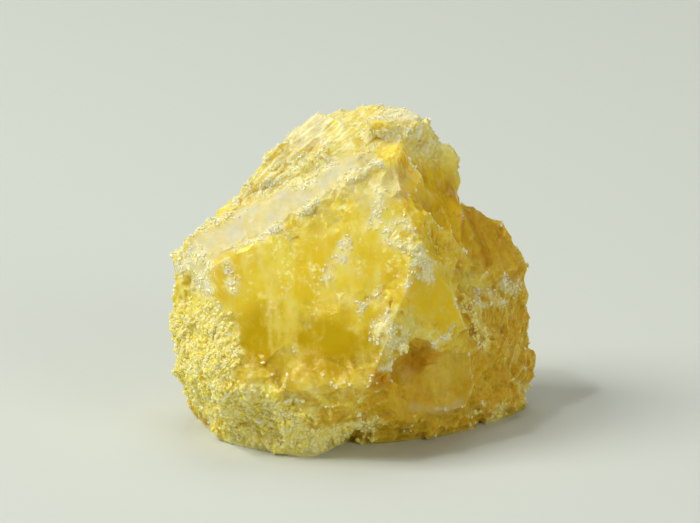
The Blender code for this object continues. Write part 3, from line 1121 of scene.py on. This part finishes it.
@dataclass
class Scatter:
    """Small crystals strewn over one kind of ground of the lump."""

    name: str
    ground: Ground
    shape: Shape
    finish: GrainFinish
    apart: float  # mm: least gap between two middles
    density: float  # crystals for each mm2 where the ground is fullest
    smallest: float  # mm
    largest: float  # mm
    seed: int
    lowest: float = 0.45  # mm: no crystal has its middle below this height
    full_from: float = 0.9  # mm: and from here up they are as close as elsewhere
    least_sides: Point = (0.6, 0.6, 0.6)  # of a crystal's three sides, as shares of its size
    most_sides: Point = (1.2, 1.1, 1.0)
    obj: bpy.types.Object | None = None

    def build(self, body: bpy.types.Mesh) -> None:
        """Strew the crystals and keep them as a plain mesh.

        Args:
            body: the mesh that they lie on.
        """
        self.obj = new_object(self.name, body.copy())
        tree = self.tree(self.finish.material())
        modifier = self.obj.modifiers.new("strew", "NODES")
        modifier.node_group = tree
        sockets = {item.name: item.identifier for item in tree.interface.items_tree}
        values = {
            "Least Gap": self.apart * MM,
            "Density": self.density / MM**2,
            "Smallest": self.smallest * MM,
            "Largest": self.largest * MM,
            "Lowest": self.lowest * MM,
            "Full From": self.full_from * MM,
            "Seed": self.seed,
        }
        for name, value in values.items():
            modifier[sockets[name]] = value
        settle(self.obj)
        self.obj.data.materials.pop(index=0)  # the empty slot that Set Material leaves

    def tree(self, material: bpy.types.Material) -> bpy.types.NodeTree:
        """Build the Geometry Nodes tree.

        Args:
            material: what the crystals are made of.

        Returns:
            The tree, with inputs for the gap, the density, the sizes and the seed.
        """
        tree = bpy.data.node_groups.new(self.name, "GeometryNodeTree")
        face = tree.interface
        face.new_socket("Geometry", in_out="OUTPUT", socket_type="NodeSocketGeometry")
        face.new_socket("Geometry", in_out="INPUT", socket_type="NodeSocketGeometry")
        for name in ("Least Gap", "Density", "Smallest", "Largest", "Lowest", "Full From"):
            face.new_socket(name, in_out="INPUT", socket_type="NodeSocketFloat")
        face.new_socket("Seed", in_out="INPUT", socket_type="NodeSocketInt")
        graph = Graph(tree)
        node = graph.node
        given = node("NodeGroupInput", {}).outputs
        seed = given["Seed"]

        ground = node("GeometryNodeInputNamedAttribute", {"Name": self.ground.value}, data_type="FLOAT")
        spot = node("GeometryNodeInputPosition", {}).outputs["Position"]
        height = node("ShaderNodeSeparateXYZ", {"Vector": spot}).outputs["Z"]
        rise = {"Value": height, "From Min": given["Lowest"], "From Max": given["Full From"]}
        clear = node("ShaderNodeMapRange", rise).outputs["Result"]
        spread = {
            "Mesh": given["Geometry"],
            "Distance Min": given["Least Gap"],
            "Density Max": given["Density"],
            "Density Factor": graph.times(ground.outputs["Attribute"], clear),
            "Seed": seed,
        }
        strew = node("GeometryNodeDistributePointsOnFaces", spread, distribute_method="POISSON")

        draw = {2: given["Smallest"], 3: given["Largest"], "Seed": seed}
        size = node("FunctionNodeRandomValue", draw, data_type="FLOAT").outputs[1]
        draw = {0: self.least_sides, 1: self.most_sides, "Seed": seed}
        sides = node("FunctionNodeRandomValue", draw, data_type="FLOAT_VECTOR").outputs[0]
        draw = {1: (math.tau, math.tau, math.tau), "Seed": seed}
        turn = node("FunctionNodeRandomValue", draw, data_type="FLOAT_VECTOR").outputs[0]
        kind, sizes = self.shape.value
        crystals = {
            "Points": strew.outputs["Points"],
            "Instance": node(kind, sizes).outputs["Mesh"],
            "Rotation": turn,
            "Scale": graph.vector("SCALE", sides, scale=size),
        }
        shape = node("GeometryNodeInstanceOnPoints", crystals).outputs["Instances"]
        for kind, settings in (
            ("GeometryNodeRealizeInstances", {}),
            ("GeometryNodeSetShadeSmooth", {"Shade Smooth": False}),
            ("GeometryNodeSetMaterial", {"Material": material}),
            ("NodeGroupOutput", {}),
        ):
            last = node(kind, {"Geometry": shape, **settings})
            shape = last.outputs["Geometry"] if last.outputs else None
        return tree

    def dress(self) -> None:
        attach(self.obj, BODY)


# ---------------------------------------------------------------- the studio


@dataclass(frozen=True)
class Lamp:
    """A square light that faces the lump."""

    name: str
    place: Point  # m
    size: float  # m: its side
    power: float  # W
    colour: Colour = (1.0, 1.0, 1.0)


@dataclass
class Studio:
    """The floor, the lights and the camera."""

    camera_place: Point = (-1.97, -564.97, 198.57)  # mm
    pitch: float = -18.0  # degrees
    yaw_offset: float = 0.1273  # degrees to the right
    pitch_offset: float = 1.0345  # degrees up
    lens: float = 194.4  # mm
    sensor: float = 36.0  # mm wide
    nearest: float = 0.01  # m: nothing closer to the camera shows
    floor_size: float = 6.0  # m
    floor_front: float = -1.5  # m
    sweep_start: float = 1.2  # m: where the floor begins to turn up behind the lump
    sweep_radius: float = 0.8  # m
    sweep_steps: int = 24
    sweep_top: float = 3.0  # m
    sky_colour: Colour = (1.0, 0.94, 0.78)
    sky_strength: float = 0.24
    aim: Point = (0.0, 0.0, 0.02)  # m: where the lamps look
    lamps: tuple[Lamp, ...] = (
        Lamp("key", (-0.8, -0.1, 0.95), 0.6, 11.0, (1.0, 0.985, 0.95)),
        Lamp("top", (0.1, 0.5, 1.1), 0.7, 3.0),
        Lamp("side_fill", (0.9, -0.9, 0.5), 0.6, 3.6, (1.0, 0.99, 0.97)),
        Lamp("glint", (-0.5, -0.2, 1.0), 0.06, 1.5),
    )

    def build(self) -> None:
        """Build everything that isn't part of the lump."""
        self.build_floor()
        self.build_sky()
        for lamp in self.lamps:
            self.hang(lamp)
        self.build_camera()
        bpy.context.scene.view_settings.view_transform = "Standard"

    def build_floor(self) -> None:
        """Lay a floor that sweeps up behind the lump as a backdrop."""
        sweep = bmesh.new()
        rows = []
        half = self.floor_size / 2
        start, radius = self.sweep_start, self.sweep_radius
        profile = [(self.floor_front, 0.0), (start, 0.0)]
        for step in range(1, self.sweep_steps + 1):
            angle = math.radians(90 * step / self.sweep_steps)
            profile.append((start + radius * math.sin(angle), radius * (1 - math.cos(angle))))
        profile.append((start + radius, self.sweep_top))
        for y, z in profile:
            rows.append([sweep.verts.new((-half, y, z)), sweep.verts.new((half, y, z))])
        for near, far in zip(rows, rows[1:]):
            face = sweep.faces.new((near[0], near[1], far[1], far[0]))
            face.smooth = True
        mesh = bpy.data.meshes.new("studio_floor")
        sweep.to_mesh(mesh)
        sweep.free()
        mesh.materials.append(PaperFinish().material())
        new_object("studio_floor", mesh)

    def build_sky(self) -> None:
        """Put a pale sky all round."""
        world = bpy.data.worlds.new("studio_sky")
        world.use_nodes = True
        sky = world.node_tree.nodes["Background"]
        sky.inputs["Color"].default_value = (*self.sky_colour, 1.0)
        sky.inputs["Strength"].default_value = self.sky_strength
        bpy.context.scene.world = world

    def hang(self, lamp: Lamp) -> None:
        """Hang a lamp and turn it to the lump.

        Args:
            lamp: the lamp.
        """
        light = bpy.data.lights.new(lamp.name, "AREA")
        light.size = lamp.size
        light.energy = lamp.power
        light.color = lamp.colour
        obj = new_object(lamp.name, light)
        obj.location = lamp.place
        self.turn(obj, Vector(self.aim) - Vector(lamp.place))

    def build_camera(self) -> None:
        """Place the camera in front of the lump and a little above it."""
        camera = bpy.data.cameras.new("camera")
        camera.lens = self.lens
        camera.sensor_width = self.sensor
        camera.clip_start = self.nearest
        obj = new_object("camera", camera)
        obj.location = Vector(self.camera_place) * MM
        down = math.radians(self.pitch + self.pitch_offset)
        right = math.radians(self.yaw_offset)
        self.turn(obj, Vector((math.sin(right), math.cos(right) * math.cos(down), math.sin(down))))
        bpy.context.scene.camera = obj

    @staticmethod
    def turn(obj: bpy.types.Object, towards: Vector) -> None:
        """Turn a lamp or a camera in a direction, upright."""
        obj.rotation_mode = "QUATERNION"
        obj.rotation_quaternion = towards.to_track_quat("-Z", "Y")


GRAINS = Scatter(
    "crust_grains",
    Ground.CRUST,
    Shape.GRAIN,
    GrainFinish("sulfur_grain", (1.0, 0.92, 0.42), (0.96, 0.80, 0.13), 0.4),
    apart=0.42, density=4.2, smallest=0.3, largest=1.05, seed=7,
)
CRYSTALS = Scatter(
    "frost_crystals",
    Ground.FROST,
    Shape.BLOCK,
    GrainFinish("sulfur_frost", (1.0, 0.98, 0.76), (1.0, 0.93, 0.42), 0.12),
    apart=0.22, density=14.0, smallest=0.15, largest=0.6, seed=11,
)


def main() -> None:
    """Build the lump, its grains and the studio, and report each piece."""
    logging.basicConfig(level=logging.INFO, format="%(message)s")
    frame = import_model()

    lump = Lump(frame["nodes"][NODE])
    lump.build()
    lump.dress(SulfurFinish())
    LOG.info("%s: %d faces", lump.obj.name, len(lump.obj.data.polygons))

    for scatter in (GRAINS, CRYSTALS):
        scatter.build(lump.obj.data)
        scatter.dress()
        LOG.info("%s: %d faces", scatter.obj.name, len(scatter.obj.data.polygons))

    Studio().build()
    LOG.info("studio: floor, sky, %d lamps and camera", len(Studio.lamps))


if __name__ == "__main__":
    main()
